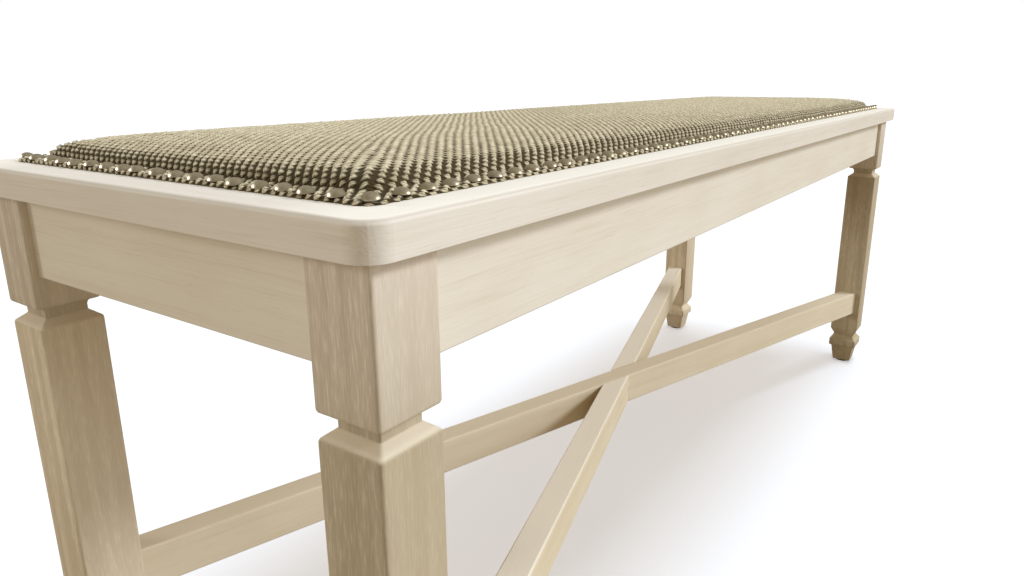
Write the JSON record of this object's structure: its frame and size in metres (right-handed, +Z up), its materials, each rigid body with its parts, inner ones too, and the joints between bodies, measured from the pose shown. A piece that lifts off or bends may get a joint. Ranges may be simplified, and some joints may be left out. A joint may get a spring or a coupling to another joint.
{
  "type": "dining bench",
  "caption": "Backless dining bench with square moulded legs, diagonal cross stretcher and a wood-bordered, woven-fabric seat edged with nailheads.",
  "frame": {"origin": "on the floor, under the middle of the bench", "axes": "+X along the bench to the right end, +Y from the front long side to the back one, +Z up"},
  "size_m": [1.24, 0.393, 0.474],
  "materials": {
    "painted_wood": "satin",
    "raw_wood": "matte",
    "plywood": "matte",
    "cover_fabric": "matte",
    "foam": "matte",
    "nail_metal": "satin",
    "screw_steel": "satin",
    "glide_plastic": "matte"
  },
  "bodies": {
    "root": {"leg_front_left": "painted_wood", "corner_block_front_left": "raw_wood", "leg_front_right": "painted_wood", "corner_block_front_right": "raw_wood", "leg_back_left": "painted_wood", "corner_block_back_left": "raw_wood", "leg_back_right": "painted_wood", "corner_block_back_right": "raw_wood", "apron_front": "painted_wood", "border_front": "painted_wood", "nailheads_front": "nail_metal", "apron_right": "painted_wood", "border_right": "painted_wood", "nailheads_right": "nail_metal", "apron_back": "painted_wood", "border_back": "painted_wood", "nailheads_back": "nail_metal", "apron_left": "painted_wood", "border_left": "painted_wood", "nailheads_left": "nail_metal", "foot_glides": "glide_plastic", "stretcher_over": "painted_wood", "stretcher_under": "painted_wood", "lap_screw": "screw_steel", "mitre_splines": "raw_wood", "seat_board": "plywood", "seat_batten_left": "raw_wood", "seat_batten_right": "raw_wood", "seat_screws": "screw_steel", "foam_pad": "foam", "fabric_cover": "cover_fabric"}
  },
  "joints": []
}
